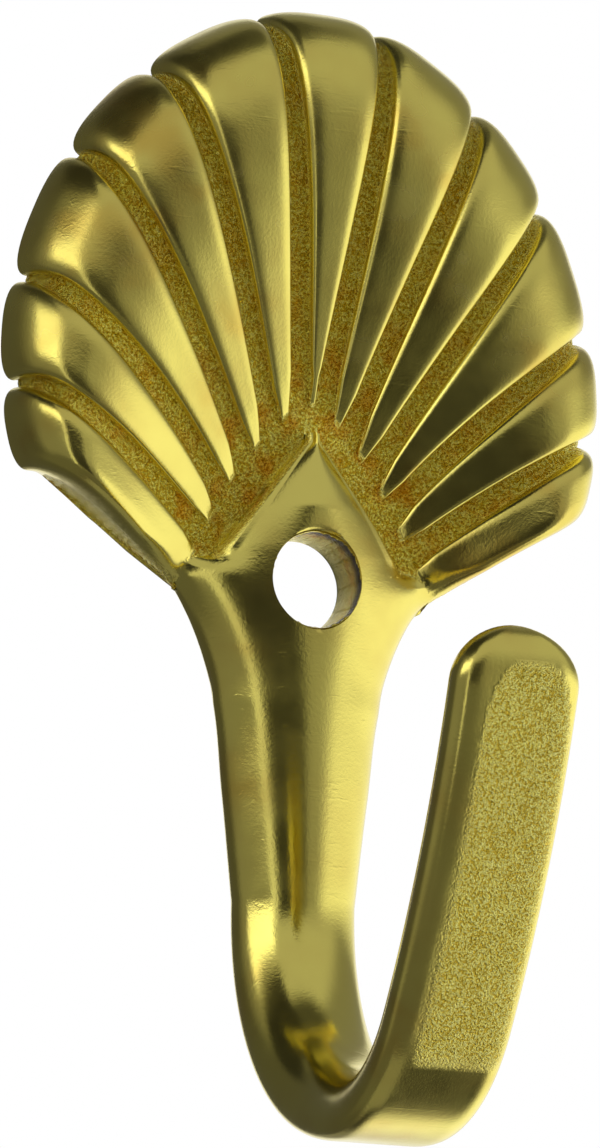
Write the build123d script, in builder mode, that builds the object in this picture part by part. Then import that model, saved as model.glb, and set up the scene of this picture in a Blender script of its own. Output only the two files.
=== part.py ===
from build123d import *
import os
from math import hypot, sqrt

# A one-piece cast brass wall hook: a scallop shell plate, a raised arrowhead
# round one screw hole, a half-round stem and an upturned hook with a round tip.
# The origin is the centre of the screw hole on the wall face of the casting.
# +X is to the right, +Z is up, and the front faces -Y. All sizes are in mm.

# Screw hole
screw_hole_diameter = 4.5
hole_edge_round = 0.3

# Shell, a fan of eleven lobes that rolls down to the wall at its rim
rim_centre_height = 12.4
lobe_relief = 1.0
lobe_reach = 1.0
root_relief_share = 0.3
side_drop = 0.2
lower_edge_depth = 0.5
sections_per_lobe = 6
back_allowance = 1.0

# Front profile along a groove: share of the way out to the rim, and depth
profile_points = ((0.0, 1.6), (0.3, 2.2), (0.75, 5.2), (1.0, 4.8))

# Gutter between the lobes and the arrowhead
gutter_depth = 1.6
gutter_top_height = 10.5
gutter_half_width = 6.8

# Arrowhead round the screw hole
arrow_apex_height = 7.1
arrow_half_width = 5.4
arrow_edge_depth = 2.5
arrow_corner_depth = 1.8
arrow_crest_depth = 3.1
arrow_tip_half_width = 0.3
arrow_tip_drop = 0.3

# Hook section, with a flat outer face that carries on from the wall face
hook_half_width = 3.0
hook_depth = 3.2
outer_flat_half_width = 1.9
outer_shoulder = 0.9
roundness = 0.55

# Stem, from the throat of the shell down to the bend
stem_end_drop = 15.1
throat_edge_inset = 0.6
throat_shoulder = 0.5
stem_side = ((0.3, 6.8), (-2.1, 5.4), (-5.1, 4.3), (-10.0, 3.6), (-stem_end_drop, hook_half_width))

# Bend, arm and tip
bend_radius_back = 12.0
bend_radius_front = 8.8
arm_radius = 60.0
front_turn = 58.5
arm_turn = 15.2
tip_length = 2.6
tip_shares = (0.0, 0.3, 0.55, 0.75, 0.9, 0.975)

# Groove lines of the right half, each from its root by the arrowhead, through
# its middle, to its notch in the rim
groove_lines = (
    ((0.6, 8.3), (1.75, 18.0), (2.8, 26.8)),
    ((2.0, 6.95), (4.75, 15.6), (8.0, 23.7)),
    ((3.2, 5.4), (7.0, 12.4), (11.6, 19.5)),
    ((4.3, 3.7), (8.3, 8.9), (14.0, 13.4)),
    ((5.15, 1.7), (10.2, 5.8), (14.2, 8.4)),
)
lower_edge_line = ((7.1, 0.2), (10.2, 2.35), (13.3, 4.5))


def along(line, share):
    """Point on the smooth curve through the three points of a groove line."""
    root, middle, notch = line
    weights = (
        (1 - share) * (1 - 2 * share),
        4 * share * (1 - share),
        share * (2 * share - 1),
    )
    return tuple(sum(w * p[k] for w, p in zip(weights, line)) for k in (0, 1))


def blended(first, second, share):
    """Groove-like line between two lines of the fan."""
    return tuple(
        tuple(p + (q - p) * share for p, q in zip(first_point, second_point))
        for first_point, second_point in zip(first, second)
    )


def fan_line(place):
    """Line of the right half of the fan: 0 is the middle lobe's crest, 0.5 its groove."""
    first_groove = groove_lines[0]
    lines = (tuple((-x, z) for x, z in first_groove),) + groove_lines + (lower_edge_line,)
    index = min(int(place + 0.5), len(lines) - 2)
    return blended(lines[index], lines[index + 1], place + 0.5 - index)


def fan_section(place):
    """Closed wire along one line of the fan: its front profile, rim and back."""
    side = -1 if place < 0 else 1
    place = abs(place)
    root, middle, notch = fan_line(place)
    swell = sqrt(1 - (2 * abs(place - round(place))) ** 2)
    notch_distance = hypot(notch[0], notch[1] - rim_centre_height)
    reach = lobe_reach * swell / notch_distance
    rim = (notch[0] * (1 + reach), notch[1] + (notch[1] - rim_centre_height) * reach)
    crown = 1 - side_drop * (notch[0] / notch_distance) ** 2
    edge_share = swell if place > len(groove_lines) else 1
    front = []
    for share, depth in profile_points:
        x, z = along((root, middle, rim), share)
        relief = lobe_relief * swell * min(1, share + root_relief_share)
        front.append((side * x, -max(lower_edge_depth, depth * edge_share) * crown - relief, z))
    front.append((side * rim[0], back_allowance, rim[1]))
    back = [(side * x, back_allowance, z) for x, z in (rim, middle, root)]
    with BuildLine(mode=Mode.PRIVATE) as section:
        Bezier(*front)
        Bezier(*back)
        Line(back[-1], front[0])
    return section.wire()


def level_plane(height):
    """Level plane whose local y goes forwards."""
    return Plane(origin=(0, 0, height), x_dir=(1, 0, 0), z_dir=(0, 0, -1))


def cap(height, half_width, edge_depth, crest_depth):
    """Level section of the arrowhead, with upright sides and a bowed top."""
    with BuildSketch(level_plane(height), mode=Mode.PRIVATE) as section:
        with BuildLine():
            Polyline((-half_width, edge_depth), (-half_width, 0), (half_width, 0), (half_width, edge_depth))
            ThreePointArc((half_width, edge_depth), (0, crest_depth), (-half_width, edge_depth))
        make_face()
    return section.sketch.face()


def d_section(plane, half_width, depth, flat_half_width, shoulder):
    """Section with a flat back, soft shoulders and a round front."""
    round_start = shoulder + roundness * (depth - shoulder)
    with BuildSketch(plane, mode=Mode.PRIVATE) as section:
        with BuildLine():
            Line((-flat_half_width, 0), (flat_half_width, 0))
            for side in (1, -1):
                Bezier((side * flat_half_width, 0), (side * half_width, 0), (side * half_width, shoulder))
                Bezier(
                    (side * half_width, shoulder),
                    (side * half_width, round_start),
                    (side * half_width * roundness, depth),
                    (0, depth),
                )
        make_face()
    return section.sketch.face()


def hook_section(plane, size=1.0):
    """Section of the hook, or a smaller copy of it for the tip."""
    widths = (hook_half_width, hook_depth, outer_flat_half_width, outer_shoulder)
    return d_section(plane, *(size * width for width in widths))


def stem_station(height, half_width):
    """Stem section at a height, which changes evenly from the throat to the hook."""
    throat_height = stem_side[0][0]
    share = (throat_height - height) / (throat_height + stem_end_drop)
    inset = throat_edge_inset + share * (hook_half_width - outer_flat_half_width - throat_edge_inset)
    shoulder = throat_shoulder + share * (outer_shoulder - throat_shoulder)
    depth = arrow_crest_depth + share * (hook_depth - arrow_crest_depth)
    return d_section(level_plane(height), half_width, depth, half_width - inset, shoulder)


with BuildPart() as hook_casting:
    # Fan of eleven lobes: one loft from the lower edge on one side, across every
    # groove and crest, to the lower edge on the other
    half_lobe = sections_per_lobe // 2
    half_fan_steps = sections_per_lobe * len(groove_lines) + half_lobe
    half_fan = [step / sections_per_lobe for step in range(1, half_fan_steps + 1)]
    places = [-place for place in half_fan[::-1]] + [0] + half_fan
    add(Solid.make_loft([fan_section(place) for place in places], ruled=True))
    split(bisect_by=Plane.XZ)

    # Floor of the gutter between the lobes and the arrowhead
    with BuildSketch(Plane.XZ):
        with BuildLine():
            Polyline(
                (0, gutter_top_height),
                (gutter_half_width, stem_side[0][0]),
                (-gutter_half_width, stem_side[0][0]),
                close=True,
            )
        make_face()
    extrude(amount=gutter_depth)

    # Arrowhead, from its point down past the screw hole
    loft(
        [
            cap(arrow_apex_height, arrow_tip_half_width, arrow_edge_depth - arrow_tip_drop, arrow_edge_depth),
            cap(arrow_apex_height / 2, arrow_half_width / 2, arrow_edge_depth, arrow_crest_depth),
            cap(0, arrow_half_width, arrow_corner_depth, arrow_crest_depth),
        ]
    )

    # Stem, from the throat of the shell down to the bend
    loft([stem_station(height, half_width) for height, half_width in stem_side])

    # Hook: one section swept round the bend and up the arm
    with BuildLine(Plane.YZ) as hook_line:
        back_bend = JernArc((0, -stem_end_drop), (0, -1), bend_radius_back, -90)
        front_bend = JernArc(back_bend @ 1, back_bend % 1, bend_radius_front, -front_turn)
        arm = JernArc(front_bend @ 1, front_bend % 1, arm_radius, -arm_turn)
    sweep(hook_section(level_plane(-stem_end_drop)), path=hook_line.wire())

    # Round tip of the arm
    outwards = arm % 1
    to_middle = Vector(0, outwards.Z, -outwards.Y) * hook_depth / 2
    tip_sections = []
    for share in tip_shares:
        size = sqrt(1 - share**2)
        corner = arm @ 1 + outwards * tip_length * share + to_middle * (1 - size)
        tip_plane = Plane(origin=corner, x_dir=(1, 0, 0), z_dir=outwards)
        tip_sections.append(hook_section(tip_plane, size))
    tip_sections.append(Vertex(*(arm @ 1 + outwards * tip_length + to_middle)))
    loft(tip_sections)

    # Screw hole straight through
    with BuildSketch(Plane.XZ):
        Circle(screw_hole_diameter / 2)
    extrude(amount=2 * arrow_crest_depth, mode=Mode.SUBTRACT)

    # Buffed front edge of the screw hole
    with BuildSketch(Plane.XY):
        with BuildLine():
            hole_radius = screw_hole_diameter / 2
            wide_radius = hole_radius + hole_edge_round
            round_start = (hole_radius, hole_edge_round - arrow_crest_depth)
            round_end = (wide_radius, -arrow_crest_depth)
            RadiusArc(round_start, round_end, -hole_edge_round)
            Polyline(
                round_end,
                (wide_radius, -2 * arrow_crest_depth),
                (hole_radius, -2 * arrow_crest_depth),
                round_start,
            )
        make_face()
    revolve(axis=Axis.Y, mode=Mode.SUBTRACT)

hook_casting.part.label = "hook_casting"
os.makedirs("parts", exist_ok=True)
export_step(hook_casting.part, "parts/hook_casting.step")
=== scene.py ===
import math

import bmesh
import bpy
import numpy as np
from mathutils import Matrix, Vector


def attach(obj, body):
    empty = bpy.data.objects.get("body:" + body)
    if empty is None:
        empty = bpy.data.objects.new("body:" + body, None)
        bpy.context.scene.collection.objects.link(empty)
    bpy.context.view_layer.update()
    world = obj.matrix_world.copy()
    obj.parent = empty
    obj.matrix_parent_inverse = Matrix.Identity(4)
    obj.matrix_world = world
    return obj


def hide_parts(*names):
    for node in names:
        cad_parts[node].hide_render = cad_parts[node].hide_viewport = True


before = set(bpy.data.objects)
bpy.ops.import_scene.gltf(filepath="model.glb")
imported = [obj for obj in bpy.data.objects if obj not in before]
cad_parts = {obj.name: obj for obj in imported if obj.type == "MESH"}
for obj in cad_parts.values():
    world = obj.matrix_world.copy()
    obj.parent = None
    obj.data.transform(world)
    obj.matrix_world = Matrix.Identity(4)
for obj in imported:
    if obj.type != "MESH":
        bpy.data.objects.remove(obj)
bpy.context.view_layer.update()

# Shell plate: the scallop at the top of the casting. Eleven polished lobes fan
# out from the arrowhead on a domed plate, with a groove left rough from the
# mould between each two, and their ends roll down to the wall.
mm = 0.001
rim_centre_height = 12.4 * mm
lobe_relief = 1.0 * mm
lobe_reach = 1.0 * mm
root_relief_share = 0.3
side_drop = 0.2
lower_edge_depth = 0.5 * mm
back_allowance = 1.0 * mm
lobe_end_length = 0.09
lobe_roundness = 5.0
rim_roundness = 2.6
flat_until, rolled_from = 0.45, 0.95
rough_edge = 0.3
buffed_from = 0.05
lobe_steps = 24
floor_steps = 3
gutter_steps = 6
# shares of the way from the arrowhead out to the rim, closer together at both ends
shares_along = np.concatenate([
    np.linspace(0, lobe_end_length, 14),
    np.linspace(0.1, 0.80, 74),
    np.linspace(0.808, 1.0, 30),
])
profile_shares = (0.0, 0.3, 0.75, 1.0)
profile_depths = mm * np.array([1.6, 2.2, 5.2, 4.8])
groove_floor_shares = (0.0, 0.08, 0.35, 0.75, 0.9, 1.0)
groove_floor_widths = mm * np.array([1.6, 1.15, 1.1, 0.8, 0.4, 0.22])
# each groove of the right half: its hub under the arrowhead, root, middle and notch
groove_lines = mm * np.array([
    [(0.15, 4.7), (0.6, 8.3), (1.75, 18.0), (2.8, 26.8)],
    [(0.5, 3.5), (2.0, 6.95), (4.75, 15.6), (8.0, 23.7)],
    [(0.8, 2.4), (3.2, 5.4), (7.0, 12.4), (11.6, 19.5)],
    [(1.15, 1.4), (4.3, 3.7), (8.3, 8.9), (14.0, 13.4)],
    [(1.5, 0.9), (5.15, 1.7), (10.2, 5.8), (14.2, 8.4)],
])
lower_edge_line = mm * np.array([(1.7, -3.54), (6.4, -0.6), (10.2, 2.35), (13.3, 4.5)])
mirrored_groove = groove_lines[0] * np.array([-1, 1])
fan_lines = np.concatenate([[mirrored_groove], groove_lines, [lower_edge_line]])
last_lobe = len(groove_lines)
last_crest_place = last_lobe - 0.01
widest_floor = 0.8


def fan_line(place):
    """Lines of the right half of the fan: 0 is the middle lobe's crest, 0.5 its groove."""
    index = np.clip((place + 0.5).astype(int), 0, len(fan_lines) - 2)
    blend = (place + 0.5 - index)[..., None, None]
    return fan_lines[index] * (1 - blend) + fan_lines[index + 1] * blend


def along(line, share):
    """Point on the smooth curve through a line's root, middle and notch."""
    root, middle, notch = line[..., 1, :], line[..., 2, :], line[..., 3, :]
    weights = (1 - share) * (1 - 2 * share), 4 * share * (1 - share), share * (2 * share - 1)
    return root * weights[0] + middle * weights[1] + notch * weights[2]


def bezier_point(points, share):
    """Points at shares of the way along the Bezier curve with these control points."""
    degree = len(points) - 1
    return sum(
        math.comb(degree, k) * share ** k * (1 - share) ** (degree - k) * point
        for k, point in enumerate(points)
    )


def shell_point(place, share, raised):
    """Points on the groove floors (raised 0) or on the crests of the lobes (raised 1)."""
    side = np.where(place < 0, -1, 1)
    line = fan_line(abs(place))
    outwards = line[..., 3, :] - (0, rim_centre_height)
    distance = np.linalg.norm(outwards, axis=-1, keepdims=True)
    line[..., 3, :] += outwards * raised * lobe_reach / distance
    crown = 1 - side_drop * (outwards[..., 0] / distance[..., 0]) ** 2
    below_last_crest = (abs(place) > last_lobe) & (raised == 0)
    points = []
    for profile_share, depth in zip(profile_shares, profile_depths):
        relief = raised * lobe_relief * min(1, profile_share + root_relief_share)
        depth = np.where(below_last_crest, lower_edge_depth, depth * crown) + relief
        flat = along(line, profile_share)
        points.append(np.stack([side * flat[..., 0], -depth, flat[..., 1]], -1))
    rim = line[..., 3, :]
    back = np.full(place.shape, back_allowance)
    points.append(np.stack([side * rim[..., 0], back, rim[..., 1]], -1))
    return bezier_point(points, share[..., None])


def fan_columns():
    """Every column of the shell from the left lower edge to the right one."""
    places, from_crest = [], []
    across = np.sin(np.linspace(-math.pi / 2, math.pi / 2, lobe_steps + 1))[None, :]
    rows = shares_along[:, None]
    floor_width = np.interp(shares_along, groove_floor_shares, groove_floor_widths)[:, None]
    for lobe in range(-last_lobe, last_lobe + 1):
        edges = (abs(lobe) - 0.5, min(abs(lobe) + 0.5, last_crest_place))
        low, high = (shell_point(np.full(rows.shape, float(edge)), rows, 0) for edge in edges)
        pitch = np.linalg.norm(high - low, axis=-1) * (2 if abs(lobe) == last_lobe else 1)
        floor = np.clip(floor_width / pitch, 0, widest_floor)
        left_floor = floor * (lobe != -last_lobe)
        right_floor = floor * (lobe != last_lobe)
        scale = np.where(across < 0, 1 - left_floor, 1 - right_floor)
        column_sets = [across * scale]
        distance_sets = [abs(across) * np.ones_like(scale)]
        steps = np.arange(1, floor_steps)[None, :] / floor_steps
        if lobe != -last_lobe:
            column_sets.insert(0, -1 + left_floor * steps)
            distance_sets.insert(0, np.ones_like(column_sets[0]))
        if lobe != last_lobe:
            column_sets.append(1 - right_floor * (1 - steps))
            distance_sets.append(np.ones_like(column_sets[-1]))
            column_sets.append(np.ones_like(floor))
            distance_sets.append(np.ones_like(floor))
        places.append(lobe + np.concatenate(column_sets, 1) / 2)
        from_crest.append(np.concatenate(distance_sets, 1))
    return np.concatenate(places, 1), np.concatenate(from_crest, 1)


def loft(name, sections, values=None):
    """Closed mesh through equal closed sections, with its two ends filled."""
    count, size = sections.shape[:2]
    index = np.arange(count * size).reshape(count, size)
    here, there = index[:-1], index[1:]
    quads = np.stack([here, np.roll(here, -1, 1), np.roll(there, -1, 1), there], -1).reshape(-1, 4)
    mesh = bpy.data.meshes.new(name)
    ends = [index[0][::-1].tolist(), index[-1].tolist()]
    mesh.from_pydata(sections.reshape(-1, 3), [], quads.tolist() + ends)
    for key, data in (values or {}).items():
        kind = "FLOAT_VECTOR" if data.ndim == 3 else "FLOAT"
        attribute = mesh.attributes.new(key, kind, "POINT")
        attribute.data.foreach_set("vector" if data.ndim == 3 else "value", data.astype(np.float32).ravel())
    work = bmesh.new()
    work.from_mesh(mesh)
    bmesh.ops.recalc_face_normals(work, faces=work.faces)
    work.to_mesh(mesh)
    work.free()
    piece = bpy.data.objects.new(name, mesh)
    bpy.context.scene.collection.objects.link(piece)
    return piece


places, from_crest = fan_columns()
shares = np.repeat(shares_along[:, None], places.shape[1], 1)
floor_points = shell_point(places, shares, 0)
end_rounding = np.sqrt(1 - (1 - np.clip(shares / lobe_end_length, 0, 1)) ** 2)[..., None]
rise = (shell_point(places, shares, 1) - floor_points) * end_rounding
hub = fan_line(abs(places[0]))[:, 0, :]
hub_side = np.where(places[0] < 0, -1, 1)
hub_front = np.stack([hub_side * hub[:, 0], floor_points[0, :, 1], hub[:, 1]], -1)
hub_back = hub_front * (1, 0, 1) + (0, back_allowance, 0)
gutter_rows = [
    hub_front + (floor_points[0] - hub_front) * step / gutter_steps for step in range(gutter_steps)
]
rows = np.concatenate([gutter_rows, floor_points, [hub_back]])
flat_rows = np.zeros((gutter_steps, places.shape[1], 3))
rises = np.concatenate([flat_rows, rise, flat_rows[:1]])
groove_rows = np.ones((gutter_steps, places.shape[1]))
distances = np.concatenate([groove_rows, from_crest, groove_rows[:1]])
way_out = np.concatenate([0 * groove_rows, shares, groove_rows[:1]])
shell = loft(
    "shell",
    rows.transpose(1, 0, 2),
    {"rise": rises.transpose(1, 0, 2), "from_crest": distances.T, "way_out": way_out.T},
)


def add_node(tree, kind, *inputs, **settings):
    """Node with its settings, its inputs set or linked in order, and its first output returned."""
    made = tree.nodes.new(kind)
    for key, value in settings.items():
        setattr(made, key, value)
    for socket, value in zip([s for s in made.inputs if s.enabled], inputs):
        if isinstance(value, bpy.types.NodeSocket):
            tree.links.new(value, socket)
        elif value is not None:
            socket.default_value = value
    return next(s for s in made.outputs if s.enabled)


def mapped(tree, value, low, high, to_low, to_high):
    """Value eased from one range into another."""
    return add_node(
        tree, "ShaderNodeMapRange", value, low, high, to_low, to_high, interpolation_type="SMOOTHSTEP"
    )


def geometry_tree(name, inputs):
    """Empty Geometry Nodes tree with named inputs: returns it with its input sockets by name."""
    tree = bpy.data.node_groups.new(name, "GeometryNodeTree")
    tree.interface.new_socket("Geometry", in_out="INPUT", socket_type="NodeSocketGeometry")
    for key, kind in inputs.items():
        tree.interface.new_socket(key, in_out="INPUT", socket_type=kind)
    tree.interface.new_socket("Geometry", in_out="OUTPUT", socket_type="NodeSocketGeometry")
    entry = tree.nodes.new("NodeGroupInput")
    return tree, entry.outputs


def end_tree(tree, geometry, material):
    """Realize Instances and Set Material, then the tree's output."""
    solid = add_node(tree, "GeometryNodeRealizeInstances", geometry)
    finished = add_node(tree, "GeometryNodeSetMaterial", solid)
    tree.links.new(material, finished.node.inputs["Material"])
    tree.links.new(finished, tree.nodes.new("NodeGroupOutput").inputs[0])


def run_tree(piece, tree, values):
    """Runs a tree on a piece with its inputs set, and keeps the result as a plain mesh."""
    modifier = piece.modifiers.new(tree.name, "NODES")
    modifier.node_group = tree
    for item in tree.interface.items_tree:
        if item.item_type == "SOCKET" and item.in_out == "INPUT" and item.name in values:
            modifier[item.identifier] = values[item.name]
    bpy.context.view_layer.update()
    evaluated = piece.evaluated_get(bpy.context.evaluated_depsgraph_get())
    mesh = bpy.data.meshes.new_from_object(evaluated)
    piece.modifiers.remove(modifier)
    piece.data = mesh


lobes, given = geometry_tree(
    "Raise lobes",
    {
        "Roundness": "NodeSocketFloat",
        "Rim Roundness": "NodeSocketFloat",
        "Rough Edge": "NodeSocketFloat",
        "Material": "NodeSocketMaterial",
    },
)
away = add_node(lobes, "GeometryNodeInputNamedAttribute", "from_crest", data_type="FLOAT")
lift = add_node(lobes, "GeometryNodeInputNamedAttribute", "rise", data_type="FLOAT_VECTOR")
way = add_node(lobes, "GeometryNodeInputNamedAttribute", "way_out", data_type="FLOAT")
squareness = mapped(lobes, way, flat_until, rolled_from, given["Roundness"], given["Rim Roundness"])
power = add_node(lobes, "ShaderNodeMath", away, squareness, operation="POWER")
rest = add_node(lobes, "ShaderNodeMath", 1.0, power, operation="SUBTRACT", use_clamp=True)
inverse = add_node(lobes, "ShaderNodeMath", 1.0, squareness, operation="DIVIDE")
swell = add_node(lobes, "ShaderNodeMath", rest, inverse, operation="POWER")
offset = add_node(lobes, "ShaderNodeVectorMath", lift, operation="SCALE")
lobes.links.new(swell, offset.node.inputs["Scale"])
raised = add_node(lobes, "GeometryNodeSetPosition", given["Geometry"])
lobes.links.new(offset, raised.node.inputs["Offset"])
root_fade = add_node(lobes, "ShaderNodeMapRange", way, 0.0, buffed_from, 0.0, 1.0)
buffed = add_node(lobes, "ShaderNodeMath", swell, root_fade, operation="MULTIPLY")
rough = mapped(lobes, buffed, 0.0, given["Rough Edge"], 1.0, 0.0)
marked = add_node(lobes, "GeometryNodeStoreNamedAttribute", raised, data_type="FLOAT", domain="POINT")
marked.node.inputs["Name"].default_value = "as_cast"
lobes.links.new(rough, marked.node.inputs["Value"])
end_tree(lobes, marked, given["Material"])
cast_brass = bpy.data.materials.new("cast_brass")
run_tree(
    shell,
    lobes,
    {
        "Roundness": lobe_roundness,
        "Rim Roundness": rim_roundness,
        "Rough Edge": rough_edge,
        "Material": cast_brass,
    },
)

# Arrowhead: a raised point round the screw hole, cast with the shell. Its top is
# a low roof that flattens down to the stem, and its sides are left rough.
arrow_apex_height = 7.1 * mm
arrow_half_width = 5.4 * mm
arrow_edge_depth = 2.5 * mm
arrow_crest_depth = 3.15 * mm
arrow_tip_half_width = 0.3 * mm
arrow_tip_drop = 0.3 * mm
arrow_corner_drop = 0.5 * mm
arrow_edge_round = 0.22 * mm
arrow_round_growth = 2.5
arrow_widest_round = 0.6
arrow_tip_crest = 0.3
arrow_crest_gain = 1.4
arrow_tip_sharpness = 1.25
arrow_sharpness_gain = 1.35
arrow_fade_drop = 3.4 * mm
arrow_fade_half_width = 3.0 * mm
arrow_fade_depth = 1.0 * mm
arrow_step = 0.15 * mm
arrow_wall_steps, arrow_top_steps = 6, 21
# how rough each step round the buffed corner is
arrow_corner_rough = [0.7, 0.4, 0.2, 0.1, 0.0, 0.0]


def arrow_section(height):
    """Level section of the arrowhead, with the mark of its rough faces."""
    down = max(0, 1 - height / arrow_apex_height)
    fade = min(1, max(0, -height / arrow_fade_drop))
    half_width = max(arrow_tip_half_width, arrow_half_width * min(1, down))
    half_width += (arrow_fade_half_width - half_width) * fade ** 2
    sink = arrow_fade_depth * fade ** 1.5
    edge = arrow_edge_depth - arrow_tip_drop * max(0, 1 - 2 * down) - sink
    edge -= arrow_corner_drop * max(0, min(1, 2 * down - 1)) ** 2
    crest_share = min(1, arrow_tip_crest + arrow_crest_gain * down)
    crest = arrow_crest_depth - (arrow_crest_depth - arrow_edge_depth) * (1 - crest_share)
    crest -= arrow_tip_drop * max(0, 1 - 2 * down) + sink
    radius = arrow_edge_round * (1 + arrow_round_growth * min(1, down) ** 2)
    radius = min(radius, arrow_widest_round * half_width)
    turn = np.linspace(0, math.pi / 2, len(arrow_corner_rough))
    wall = [(half_width, depth) for depth in np.linspace(0, edge - radius, arrow_wall_steps + 1)[:-1]]
    corner = [
        (half_width - radius + radius * math.cos(a), edge - radius + radius * math.sin(a)) for a in turn
    ]
    across = np.linspace(1, 0, arrow_top_steps + 1)[1:] * (half_width - radius)
    sharpness = arrow_tip_sharpness + arrow_sharpness_gain * min(1, down)
    top = [(x, crest - (crest - edge) * (x / (half_width - radius)) ** sharpness) for x in across]
    right = wall + corner + top
    left = [(-x, depth) for x, depth in right[-2::-1]]
    loop = [(x, -depth, height) for x, depth in right + left]
    rough = [1.0] * len(wall) + arrow_corner_rough + [0.0] * len(top)
    return loop, rough + rough[-2::-1]


arrow_heights = np.arange(arrow_apex_height, -arrow_fade_drop, -arrow_step)
arrow_loops = [arrow_section(height) for height in arrow_heights]
arrowhead = loft(
    "arrowhead",
    np.array([loop for loop, rough in arrow_loops]),
    {"as_cast": np.array([rough for loop, rough in arrow_loops])},
)

# Stem and hook: the half-round bar that runs down from the arrowhead, round the
# U-bend and up the arm to its round tip. Its flat back carries on as the outer
# face of the bend and the arm, which is left as cast between soft shoulders.
hook_half_width = 3.0 * mm
hook_depth = 3.2 * mm
outer_flat_half_width = 1.9 * mm
outer_shoulder = 0.9 * mm
roundness = 0.55
stem_end_drop = 15.1 * mm
throat_edge_inset = 0.6 * mm
throat_shoulder = 0.5 * mm
throat_crest_depth = 3.05 * mm
throat_roll = 0.6 * mm
throat_top_size, throat_top_width = 0.3, 0.7
stem_heights = mm * np.array([-15.1, -10.0, -5.1, -2.1, 0.3])
stem_half_widths = mm * np.array([3.0, 3.6, 4.3, 5.4, 6.8])
bend_radius_back = 12.0 * mm
bend_radius_front = 8.8 * mm
arm_radius = 60.0 * mm
front_turn = math.radians(58.5)
arm_turn = math.radians(15.2)
tip_length = 2.6 * mm
bar_step = 0.22 * mm
throat_sections, stem_sections, tip_sections = 13, 75, 15
flat_steps, shoulder_steps, front_steps = 8, 8, 22


def bezier(points, steps):
    """Evenly stepped points on a Bezier curve, without its last one."""
    return bezier_point(np.array(points), np.linspace(0, 1, steps + 1)[:-1, None])


def bar_outline(half_width, depth, flat_half_width, shoulder):
    """Outline of the bar: flat back, soft shoulders and round front, as across and depth."""
    round_start = shoulder + roundness * (depth - shoulder)
    right = np.concatenate([
        bezier([(0, 0), (flat_half_width, 0)], flat_steps),
        bezier([(flat_half_width, 0), (half_width, 0), (half_width, shoulder)], shoulder_steps),
        bezier(
            [
                (half_width, shoulder),
                (half_width, round_start),
                (half_width * roundness, depth),
                (0, depth),
            ],
            front_steps,
        ),
        [(0, depth)],
    ])
    return np.concatenate([right, right[-2:0:-1] * (-1, 1)])


def stem_half_width(height):
    """Half width of the stem, on one smooth curve through its measured places."""
    index = np.clip(np.searchsorted(stem_heights, height) - 1, 0, len(stem_heights) - 2)
    slopes = np.gradient(stem_half_widths, stem_heights)
    span = stem_heights[index + 1] - stem_heights[index]
    share = (height - stem_heights[index]) / span
    return (
        (1 + 2 * share) * (1 - share) ** 2 * stem_half_widths[index]
        + share * (1 - share) ** 2 * span * slopes[index]
        + share ** 2 * (3 - 2 * share) * stem_half_widths[index + 1]
        + share ** 2 * (share - 1) * span * slopes[index + 1]
    )


def place_outline(outline, corner, inwards):
    """Outline placed with its back centre at a corner (Y, Z) and its depth along inwards."""
    return np.stack(
        [outline[:, 0], corner[0] + outline[:, 1] * inwards[0], corner[1] + outline[:, 1] * inwards[1]], -1
    )


bar_sections = []
for lean in np.linspace(math.pi / 2, 0, throat_sections + 1)[:-1]:
    height = stem_heights[-1] + throat_roll * math.sin(lean)
    size = throat_top_size + (1 - throat_top_size) * math.cos(lean)
    half_width = stem_half_widths[-1] * (throat_top_width + (1 - throat_top_width) * math.cos(lean))
    flat_half_width = half_width - throat_edge_inset
    outline = bar_outline(half_width, throat_crest_depth * size, flat_half_width, throat_shoulder * size)
    bar_sections.append(place_outline(outline, (0, height), (-1, 0)))
for height in np.linspace(stem_heights[-1], -stem_end_drop, stem_sections + 1)[:-1]:
    share = (stem_heights[-1] - height) / (stem_heights[-1] + stem_end_drop)
    half_width = stem_half_width(height)
    inset = throat_edge_inset + share * (hook_half_width - outer_flat_half_width - throat_edge_inset)
    shoulder = throat_shoulder + share * (outer_shoulder - throat_shoulder)
    depth = throat_crest_depth + share * (hook_depth - throat_crest_depth)
    outline = bar_outline(half_width, depth, half_width - inset, shoulder)
    bar_sections.append(place_outline(outline, (0, height), (-1, 0)))
hook_outline = bar_outline(hook_half_width, hook_depth, outer_flat_half_width, outer_shoulder)
corner, angle = np.array([0, -stem_end_drop]), 0.0
# how far each section has turned from the stem, and how far into the round tip it is
before_arm = -9.0
bar_turns = [0.0] * len(bar_sections)
turns = (
    (bend_radius_back, math.pi / 2),
    (bend_radius_front, front_turn),
    (arm_radius, arm_turn),
)
for radius, turn in turns:
    centre = corner + radius * np.array([-math.cos(angle), math.sin(angle)])
    steps = max(2, round(radius * turn / bar_step))
    for step in range(steps):
        now = angle + turn * step / steps
        inwards = np.array([-math.cos(now), math.sin(now)])
        bar_sections.append(place_outline(hook_outline, centre - radius * inwards, inwards))
        bar_turns.append(now)
    angle += turn
    inwards = np.array([-math.cos(angle), math.sin(angle)])
    corner = centre - radius * inwards
outwards = np.array([-math.sin(angle), -math.cos(angle)])
arm_steps = max(2, round(arm_radius * arm_turn / bar_step))
bar_leans = [before_arm] * (len(bar_sections) - arm_steps)
bar_leans += list(-arm_radius * arm_turn / tip_length * (1 - np.arange(arm_steps) / arm_steps))
for lean in np.linspace(0, math.pi / 2, tip_sections + 1)[:-1]:
    bar_turns.append(angle)
    bar_leans.append(lean)
    size = math.cos(lean)
    place = corner + outwards * tip_length * math.sin(lean) + inwards * hook_depth / 2 * (1 - size)
    bar_sections.append(place_outline(hook_outline * size, place, inwards))
bar_sections = np.array(bar_sections)

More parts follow.
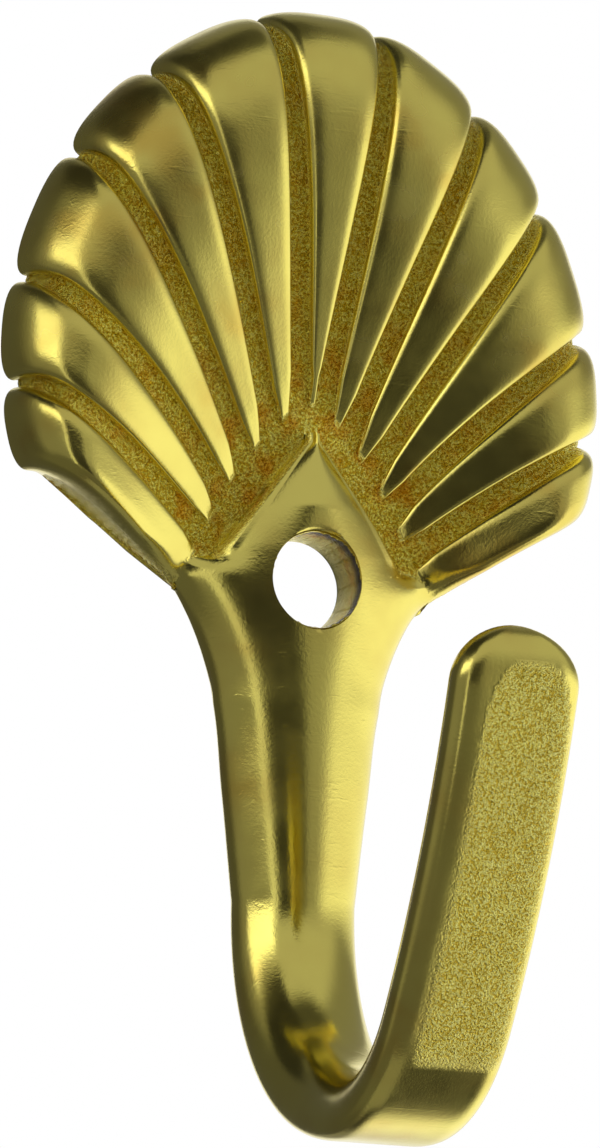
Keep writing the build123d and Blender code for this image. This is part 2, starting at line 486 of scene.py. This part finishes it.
# the outer face of the bend and arm is rough, up to a round end short of the tip
arm_rough = 0.75
rough_start_turn, rough_turn_fade = math.radians(136), math.radians(6)
rough_end_lean, rough_end_curve, rough_lean_fade = 0.5, 1.2, 0.2
rough_left, rough_right, rough_fade = -1.7 * mm, 2.75 * mm, 0.5 * mm
rough_depth = 0.45 * mm
across = hook_outline[:, 0]
on_flat = np.clip((across - rough_left) / rough_fade, 0, 1)
on_flat *= np.clip((rough_right - across) / rough_fade, 0, 1)
on_flat *= hook_outline[:, 1] < rough_depth
rough_from = np.clip((np.array(bar_turns) - rough_start_turn) / rough_turn_fade, 0, 1)
off_middle = (2 * across - rough_left - rough_right) / (rough_right - rough_left)
rough_end = rough_end_lean - rough_end_curve * off_middle ** 4
rough_to = np.clip((rough_end[None, :] - np.array(bar_leans)[:, None]) / rough_lean_fade, 0, 1)
bar_rough = arm_rough * on_flat[None, :] * rough_from[:, None] * rough_to
hook_bar = loft("hook_bar", bar_sections, {"as_cast": bar_rough})

# The casting: shell, arrowhead and bar are one piece of brass, with a plain hole
# for the screw whose front edge is buffed round, and a flat back against the wall.
screw_hole_radius = 2.25 * mm
hole_edge_round = 0.35 * mm
hole_steps = 96
edge_steps = 8
clear = 5 * mm
# over 1, so that the bore is painted near black: painted shade in the hole
bore_rough_painted_dark = 1.6
throat_fillets = (1.4 * mm, 1.1 * mm, 0.8 * mm)
throat_mesh_size = 0.35 * mm
refine_rounds = 3
points_at_a_time = 400
grain_height, grain_size, grain_seed = 0.07 * mm, 0.22 * mm, 4.0
crease_angle = math.radians(38)


def turned(name, profile, rough):
    """Closed mesh turned about the Y axis from a profile of radius and Y, with its rough mark."""
    turn = np.linspace(0, 2 * math.pi, hole_steps, endpoint=False)
    sections = np.array([[(r * math.cos(a), y, r * math.sin(a)) for a in turn] for r, y in profile])
    return loft(name, sections, {"as_cast": np.repeat(np.array(rough)[:, None], hole_steps, 1)})


edge_turn = np.linspace(0, math.pi / 2, edge_steps)
hole_profile = [(screw_hole_radius, clear)] + [
    (
        screw_hole_radius + hole_edge_round * (1 - math.cos(a)),
        -arrow_crest_depth + hole_edge_round * (1 - math.sin(a)),
    )
    for a in edge_turn
]
hole_profile.append((screw_hole_radius + hole_edge_round, -clear))
hole = turned("hole", hole_profile, [bore_rough_painted_dark] * 2 + [0.0] * len(edge_turn))
behind_wall = bpy.data.meshes.new("behind_wall")
work = bmesh.new()
wall_block = Matrix.Translation((0, 0.05, 0.0)) @ Matrix.Diagonal((0.2, 0.1, 0.2, 1))
bmesh.ops.create_cube(work, size=1.0, matrix=wall_block)
work.to_mesh(behind_wall)
work.free()
wall = bpy.data.objects.new("wall", behind_wall)
bpy.context.scene.collection.objects.link(wall)


def combine(piece, other, operation):
    """Joins another closed mesh to a piece, or cuts it away, and deletes the other."""
    modifier = piece.modifiers.new("combine", "BOOLEAN")
    modifier.operation = operation
    modifier.solver = "MANIFOLD"
    modifier.object = other
    bpy.context.view_layer.update()
    mesh = bpy.data.meshes.new_from_object(piece.evaluated_get(bpy.context.evaluated_depsgraph_get()))
    piece.modifiers.remove(modifier)
    piece.data = mesh
    bpy.data.objects.remove(other)


combine(shell, wall, "DIFFERENCE")
combine(shell, arrowhead, "UNION")
combine(shell, hook_bar, "UNION")


def refine(mesh, longest, weight_at):
    """Splits the long edges of a mesh where the weight is over nothing."""
    work = bmesh.new()
    work.from_mesh(mesh)
    for turn in range(refine_rounds):
        inside = weight_at(np.array([vertex.co for vertex in work.verts])) > 0
        chosen = [vertex for vertex, within in zip(work.verts, inside) if within]
        edges = {edge for vertex in chosen for edge in vertex.link_edges if edge.calc_length() > longest}
        bmesh.ops.subdivide_edges(work, edges=list(edges), cuts=1)
        bmesh.ops.triangulate(work, faces=[face for face in work.faces if len(face.verts) > 4])
    work.to_mesh(mesh)
    work.free()


def soften(mesh, radius, weight_at):
    """Rounds the creases of a mesh where the weight is over nothing, as a fillet of about this radius."""
    points = np.empty(len(mesh.vertices) * 3)
    mesh.vertices.foreach_get("co", points)
    points = points.reshape(-1, 3)
    normals = np.empty(len(mesh.vertices) * 3)
    mesh.vertices.foreach_get("normal", normals)
    normals = normals.reshape(-1, 3)
    centres, faces_out, areas = (np.empty(len(mesh.polygons) * k) for k in (3, 3, 1))
    mesh.polygons.foreach_get("center", centres)
    mesh.polygons.foreach_get("normal", faces_out)
    mesh.polygons.foreach_get("area", areas)
    centres, faces_out = centres.reshape(-1, 3), faces_out.reshape(-1, 3)
    weight = weight_at(points)
    moved = np.where(weight > 0)[0]
    low, high = points[moved].min(0) - 2 * radius, points[moved].max(0) + 2 * radius
    near = np.all((centres > low) & (centres < high), 1)
    centres, faces_out, areas = centres[near], faces_out[near], areas[near]
    result = points.copy()
    for group in np.array_split(moved, max(1, len(moved) // points_at_a_time)):
        gap = ((points[group, None, :] - centres[None, :, :]) ** 2).sum(-1)
        share = np.exp(-gap / (radius / 2) ** 2) * areas * np.clip(normals[group] @ faces_out.T, 0, 1)
        mean = share @ centres / share.sum(1, keepdims=True)
        push = ((mean - points[group]) * normals[group]).sum(1, keepdims=True) * normals[group]
        result[group] += push * weight[group, None]
    mesh.vertices.foreach_set("co", result.ravel())
    mesh.update()


def ramp(value, low, high):
    """Smooth step from 0 at low to 1 at high."""
    share = np.clip((value - low) / (high - low), 0, 1)
    return share * share * (3 - 2 * share)


def throat_weight(points):
    """Where the lowest lobes and the arrowhead's corners run into the stem."""
    x, y, z = abs(points[:, 0]), points[:, 1], points[:, 2]
    low = ramp(z, 1.5 * mm, 0.3 * mm) * ramp(z, -6 * mm, -4.5 * mm)
    outer = ramp(x, 1.2 * mm, 2.4 * mm) * ramp(x, 11 * mm, 9 * mm)
    return low * outer * ramp(-y, 0.1 * mm, 0.6 * mm)


refine(shell.data, throat_mesh_size, throat_weight)
for radius in throat_fillets:
    soften(shell.data, radius, throat_weight)
combine(shell, hole, "DIFFERENCE")
casting = shell
casting.name = "wall_hook_casting"

skin, given = geometry_tree(
    "Cast skin",
    {
        "Grain Height": "NodeSocketFloat",
        "Grain Size": "NodeSocketFloat",
        "Seed": "NodeSocketFloat",
        "Material": "NodeSocketMaterial",
    },
)
where = add_node(skin, "GeometryNodeInputPosition")
outward = add_node(skin, "GeometryNodeInputNormal")
as_cast = add_node(skin, "GeometryNodeInputNamedAttribute", "as_cast", data_type="FLOAT")
frequency = add_node(skin, "ShaderNodeMath", 1.0, given["Grain Size"], operation="DIVIDE")
grain = add_node(skin, "ShaderNodeTexNoise", noise_dimensions="4D")
grain.node.inputs["Detail"].default_value = 1.0
skin.links.new(where, grain.node.inputs["Vector"])
skin.links.new(given["Seed"], grain.node.inputs["W"])
skin.links.new(frequency, grain.node.inputs["Scale"])
grain_depth = add_node(skin, "ShaderNodeMapRange", grain, 0.3, 0.7, -0.5, 0.5)
full_height = add_node(skin, "ShaderNodeMath", grain_depth, given["Grain Height"], operation="MULTIPLY")
cast_height = add_node(skin, "ShaderNodeMath", full_height, as_cast, operation="MULTIPLY")
grain_offset = add_node(skin, "ShaderNodeVectorMath", outward, operation="SCALE")
skin.links.new(cast_height, grain_offset.node.inputs["Scale"])
roughened = add_node(skin, "GeometryNodeSetPosition", given["Geometry"])
skin.links.new(grain_offset, roughened.node.inputs["Offset"])
end_tree(skin, roughened, given["Material"])
run_tree(
    casting,
    skin,
    {
        "Grain Height": grain_height,
        "Grain Size": grain_size,
        "Seed": grain_seed,
        "Material": cast_brass,
    },
)
for spare in ("rise", "from_crest", "way_out"):
    casting.data.attributes.remove(casting.data.attributes[spare])
casting.data.name = "wall_hook_casting"
casting.data.shade_smooth()
casting.data.set_sharp_from_angle(angle=crease_angle)


def shader_group(name, inputs, outputs):
    """Empty shader node group with named inputs and outputs: returns it, its inputs and its output node."""
    tree = bpy.data.node_groups.new(name, "ShaderNodeTree")
    for key, kind in inputs.items():
        tree.interface.new_socket(key, in_out="INPUT", socket_type=kind)
    for key, kind in outputs.items():
        tree.interface.new_socket(key, in_out="OUTPUT", socket_type=kind)
    return tree, tree.nodes.new("NodeGroupInput").outputs, tree.nodes.new("NodeGroupOutput")


def noise_in(tree, vector, scale, detail=2.0, roughness=0.5):
    """Noise of a scale in cells to the metre."""
    made = add_node(tree, "ShaderNodeTexNoise")
    for key, value in (("Vector", vector), ("Scale", scale), ("Detail", detail), ("Roughness", roughness)):
        if isinstance(value, bpy.types.NodeSocket):
            tree.links.new(value, made.node.inputs[key])
        else:
            made.node.inputs[key].default_value = value
    return made


# cast grain: the sandy skin that the mould leaves, as a height and as a mask of its tops, on which the
# tarnish colour paints a glint
group, given, out = shader_group(
    "Cast grain",
    {"Vector": "NodeSocketVector", "Grains": "NodeSocketFloat", "Pits": "NodeSocketFloat"},
    {"Height": "NodeSocketFloat", "Tops": "NodeSocketFloat"},
)
fine = noise_in(group, given["Vector"], given["Grains"], 3.0, 0.6)
coarse = noise_in(group, given["Vector"], given["Pits"], 2.0, 0.5)
pits = mapped(group, coarse, 0.3, 0.56, 0.1, 1.0)
height = add_node(group, "ShaderNodeMath", fine, pits, operation="MULTIPLY")
group.links.new(height, out.inputs["Height"])
group.links.new(mapped(group, height, 0.25, 0.6, 0.0, 1.0), out.inputs["Tops"])
cast_grain = group

# hand polish: faint waves, orange peel and short scratches that a buffing wheel leaves
group, given, out = shader_group(
    "Hand polish",
    {"Vector": "NodeSocketVector", "Peel": "NodeSocketFloat", "Scratches": "NodeSocketFloat"},
    {"Height": "NodeSocketFloat", "Dullness": "NodeSocketFloat"},
)
peel = noise_in(group, given["Vector"], given["Peel"], 3.0, 0.6)
stretch = add_node(group, "ShaderNodeMapping", given["Vector"])
stretch.node.inputs["Rotation"].default_value = (0.3, 0.9, 0.5)
stretch.node.inputs["Scale"].default_value = (0.08, 1.0, 1.0)
scratch = noise_in(group, stretch, given["Scratches"], 2.0, 0.7)
scratch_height = mapped(group, scratch, 0.6, 0.72, 0.0, 0.4)
total = add_node(group, "ShaderNodeMath", peel, scratch_height, operation="ADD")
group.links.new(total, out.inputs["Height"])
dull = noise_in(group, given["Vector"], 300.0, 3.0, 0.6)
group.links.new(dull, out.inputs["Dullness"])
hand_polish = group


def colour_ramp(tree, share, first, middle, middle_place, last):
    """Colour ramp of three colours, led by a share."""
    made = tree.nodes.new("ShaderNodeValToRGB")
    stops = made.color_ramp.elements
    stops[0].color = first
    stops[1].color = last
    stops.new(middle_place).color = middle
    tree.links.new(share, made.inputs["Fac"])
    return made.outputs["Color"]


# tarnish: brown film in patches, deepest in the rough hollows near the hole, which
# a buffing wheel doesn't reach; with it a painted glint on the tops of the cast grain, and the bore painted
# near black as painted shade
stained_from, stained_to = 6 * mm, 18 * mm
group, given, out = shader_group(
    "Tarnish, glints and bore shade",
    {
        "Vector": "NodeSocketVector",
        "Patches": "NodeSocketFloat",
        "Stains": "NodeSocketFloat",
        "As Cast": "NodeSocketFloat",
        "Tops": "NodeSocketFloat",
    },
    {"Color": "NodeSocketColor"},
)
patches = noise_in(group, given["Vector"], given["Patches"], 3.0, 0.6)
film = mapped(group, patches, 0.38, 0.74, 0.0, 1.0)
polished_tone = colour_ramp(
    group, film, (0.79, 0.69, 0.16, 1), (0.73, 0.61, 0.14, 1), 0.6, (0.68, 0.50, 0.10, 1)
)
# the grain's tops are painted paler as a painted glint, its hollows browner as the skin's own oxide
cast_tone_with_glints = colour_ramp(
    group, given["Tops"], (0.76, 0.54, 0.03, 1), (1.0, 0.87, 0.14, 1), 0.4, (1.0, 0.95, 0.30, 1)
)
stains = noise_in(group, given["Vector"], given["Stains"], 2.0, 0.6)
from_hole = add_node(group, "ShaderNodeVectorMath", given["Vector"], operation="LENGTH")
most_stain = mapped(group, from_hole, stained_from, stained_to, 1.0, 0.3)
stain = mapped(group, stains, 0.42, 0.7, 0.0, 1.0)
stain = add_node(group, "ShaderNodeMath", stain, most_stain, operation="MULTIPLY")
hollow = mapped(group, given["As Cast"], 0.75, 1.0, 0.1, 1.0)
stain = add_node(group, "ShaderNodeMath", stain, hollow, operation="MULTIPLY")
stained = add_node(
    group,
    "ShaderNodeMix",
    stain,
    cast_tone_with_glints,
    (0.92, 0.62, 0.3, 1),
    data_type="RGBA",
    blend_type="MULTIPLY",
)
tone = add_node(group, "ShaderNodeMix", given["As Cast"], polished_tone, stained, data_type="RGBA")
# the bore, marked over 1, is painted near black: painted shade in the hole
painted_bore_shade = mapped(group, given["As Cast"], 1.05, 1.5, 0.0, 1.0)
with_painted_bore_shade = add_node(group, "ShaderNodeMix", painted_bore_shade, tone, (0.10, 0.07, 0.02, 1), data_type="RGBA")
group.links.new(with_painted_bore_shade, out.inputs["Color"])
tarnish_glints_and_bore_shade = group


def use_group(tree, group, **values):
    """Node group placed in a tree with its inputs set or linked by name."""
    made = tree.nodes.new("ShaderNodeGroup")
    made.node_tree = group
    for key, value in values.items():
        socket = made.inputs[key.replace("_", " ")]
        if isinstance(value, bpy.types.NodeSocket):
            tree.links.new(value, socket)
        else:
            socket.default_value = value
    return made.outputs


polish_bump = 0.006
grain_bump = 0.19
cast_roughness = 0.22
satin_from, satin_to = 4 * mm, 11 * mm
cast_brass.use_nodes = True
tree = cast_brass.node_tree
shader = tree.nodes["Principled BSDF"]
shader.inputs["Metallic"].default_value = 1.0
place_on_piece = add_node(tree, "ShaderNodeTexCoord").node.outputs["Object"]
left_rough = add_node(tree, "ShaderNodeAttribute", attribute_name="as_cast").node.outputs["Fac"]
grain = use_group(tree, cast_grain, Vector=place_on_piece, Grains=12000.0, Pits=8500.0)
polish = use_group(tree, hand_polish, Vector=place_on_piece, Peel=7000.0, Scratches=2500.0)
colour = use_group(
    tree,
    tarnish_glints_and_bore_shade,
    Vector=place_on_piece,
    Patches=160.0,
    Stains=700.0,
    As_Cast=left_rough,
    Tops=grain["Tops"],
)
tree.links.new(colour["Color"], shader.inputs["Base Color"])
brushed = mapped(tree, polish["Dullness"], 0.3, 0.7, 0.12, 0.22)
height_up = add_node(tree, "ShaderNodeSeparateXYZ", place_on_piece).node.outputs["Z"]
satin = mapped(tree, height_up, satin_from, satin_to, 0.0, 0.07)
polished_roughness = add_node(tree, "ShaderNodeMath", brushed, satin, operation="ADD")
roughness = add_node(
    tree, "ShaderNodeMix", left_rough, polished_roughness, cast_roughness, data_type="FLOAT"
)
tree.links.new(roughness, shader.inputs["Roughness"])
polish_height = add_node(tree, "ShaderNodeMath", polish["Height"], polish_bump, operation="MULTIPLY")
grain_rise = add_node(tree, "ShaderNodeMath", grain["Height"], grain_bump, operation="MULTIPLY")
height = add_node(tree, "ShaderNodeMix", left_rough, polish_height, grain_rise, data_type="FLOAT")
bump = tree.nodes.new("ShaderNodeBump")
bump.inputs["Distance"].default_value = 1 * mm
tree.links.new(height, bump.inputs["Height"])
tree.links.new(bump.outputs["Normal"], shader.inputs["Normal"])

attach(casting, "root")
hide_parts("hook_casting")

# Floor: a plain pale sheet well below the hook, which hangs in front of white.
floor_drop = 0.6
floor_size = 0.22
floor_mesh = bpy.data.meshes.new("floor")
corners = [(x * floor_size, y * floor_size, -floor_drop) for x, y in ((-1, -1), (1, -1), (1, 1), (-1, 1))]
floor_mesh.from_pydata(corners, [], [(0, 1, 2, 3)])
floor = bpy.data.objects.new("floor", floor_mesh)
bpy.context.scene.collection.objects.link(floor)
pale = bpy.data.materials.new("pale_floor")
pale.use_nodes = True
pale.node_tree.nodes["Principled BSDF"].inputs["Base Color"].default_value = (0.8, 0.8, 0.8, 1)
pale.node_tree.nodes["Principled BSDF"].inputs["Roughness"].default_value = 0.8
floor_mesh.materials.append(pale)

# Studio: soft boxes as cards in the world round the hook, each placed by azimuth
# and elevation in degrees, with a white backdrop behind the hook as the camera
# sees it. Metal and glass show that backdrop too.
world = bpy.data.worlds.new("studio")
bpy.context.scene.world = world
world.use_nodes = True
nodes = world.node_tree
room_level = 0.24
# centre azimuth and elevation, half width and height, softness, level
cards = {
    "dark_corner": (-155, 0, 40, 60, 25, 0.09),
    "upper_wall": (5, 46, 62, 32, 30, 0.52),
    "ceiling": (0, 90, 400, 23, 14, 0.07),
    "roof_edge": (-98, 64, 62, 21, 9, 0.03),
    "low_front": (-40, -48, 100, 26, 16, 0.13),
    "under_wall": (157, -62, 100, 22, 14, 0.06),
    "right_box": (96, -19, 60, 31, 18, 1.25),
    "left_strip": (-33, -2, 5, 24, 5, 0.8),
    "left_box": (-64, 22, 28, 11, 7, 1.8),
    "front_card": (-5, -1, 20, 18, 8, 0.04),
}
backdrop_centre = Vector((0.385, 0.907, 0.174))
backdrop_inner, backdrop_outer = math.cos(math.radians(24)), math.cos(math.radians(31))

group, given, out = shader_group(
    "Card",
    {
        key: "NodeSocketFloat"
        for key in ("Azimuth", "Elevation", "Centre", "Height", "Half Width", "Half Height", "Softness")
    },
    {"Mask": "NodeSocketFloat"},
)
sides = []
for angle, centre, half in (("Azimuth", "Centre", "Half Width"), ("Elevation", "Height", "Half Height")):
    off = add_node(group, "ShaderNodeMath", given[angle], given[centre], operation="SUBTRACT")
    off = add_node(group, "ShaderNodeMath", off, operation="ABSOLUTE")
    past = add_node(group, "ShaderNodeMath", off, given[half], operation="SUBTRACT")
    share = add_node(group, "ShaderNodeMath", past, given["Softness"], operation="DIVIDE")
    sides.append(mapped(group, share, -0.5, 0.5, 1.0, 0.0))
both = add_node(group, "ShaderNodeMath", sides[0], sides[1], operation="MULTIPLY")
group.links.new(both, out.inputs["Mask"])
card_group = group

ray_way = add_node(nodes, "ShaderNodeTexCoord").node.outputs["Generated"]
axes = add_node(nodes, "ShaderNodeSeparateXYZ", ray_way).node.outputs
frontwards = add_node(nodes, "ShaderNodeMath", axes["Y"], -1.0, operation="MULTIPLY")
azimuth = add_node(nodes, "ShaderNodeMath", axes["X"], frontwards, operation="ARCTAN2")
azimuth = add_node(nodes, "ShaderNodeMath", azimuth, operation="DEGREES")
elevation = add_node(nodes, "ShaderNodeMath", axes["Z"], operation="ARCSINE")
elevation = add_node(nodes, "ShaderNodeMath", elevation, operation="DEGREES")
level = room_level
for centre, height, half_width, half_height, softness, card_level in cards.values():
    card = use_group(
        nodes,
        card_group,
        Azimuth=azimuth,
        Elevation=elevation,
        Centre=centre,
        Height=height,
        Half_Width=half_width,
        Half_Height=half_height,
        Softness=softness,
    )
    level = add_node(nodes, "ShaderNodeMix", card["Mask"], level, card_level, data_type="FLOAT")
facing = add_node(nodes, "ShaderNodeVectorMath", ray_way, backdrop_centre, operation="DOT_PRODUCT")
backdrop = mapped(nodes, facing, backdrop_outer, backdrop_inner, 0.0, 1.0)
ray = add_node(nodes, "ShaderNodeLightPath").node.outputs
seen = add_node(nodes, "ShaderNodeMath", ray["Is Camera Ray"], ray["Is Glossy Ray"], operation="MAXIMUM")
seen = add_node(nodes, "ShaderNodeMath", seen, ray["Is Transmission Ray"], operation="MAXIMUM")
seen = add_node(nodes, "ShaderNodeMath", seen, backdrop, operation="MULTIPLY")
level = add_node(nodes, "ShaderNodeMix", seen, level, 1.0, data_type="FLOAT")
nodes.links.new(level, nodes.nodes["Background"].inputs["Color"])
nodes.nodes["Background"].inputs["Strength"].default_value = 1.0

# Camera: to the left of the front and a little below, far enough back to keep
# the hook's proportions.
view_azimuth = math.radians(-23.0)
view_elevation = math.radians(-10.0)
view_roll = math.radians(1.5)
view_distance = 350 * mm
pixel_size = 0.047 * mm
image_width, image_height = 600, 1148
origin_pixel = (293.0, 589.0)
sensor_size = 36.0
back = Vector((
    math.sin(view_azimuth) * math.cos(view_elevation),
    -math.cos(view_azimuth) * math.cos(view_elevation),
    math.sin(view_elevation),
))
right = Vector((math.cos(view_azimuth), math.sin(view_azimuth), 0))
up = back.cross(right)
camera_data = bpy.data.cameras.new("camera")
camera_data.sensor_width = sensor_size
camera_data.lens = sensor_size * view_distance / (pixel_size * image_height)
camera_data.shift_x = (image_width / 2 - origin_pixel[0]) / image_height
camera_data.shift_y = (origin_pixel[1] - image_height / 2) / image_height
camera_data.clip_start = 0.01
camera = bpy.data.objects.new("camera", camera_data)
turned_right = right * math.cos(view_roll) + up * math.sin(view_roll)
turned_up = up * math.cos(view_roll) - right * math.sin(view_roll)
camera.matrix_world = Matrix.Translation(back * view_distance) @ Matrix(
    (turned_right, turned_up, back)
).transposed().to_4x4()
bpy.context.scene.collection.objects.link(camera)
bpy.context.scene.camera = camera
bpy.context.scene.view_settings.view_transform = "Standard"
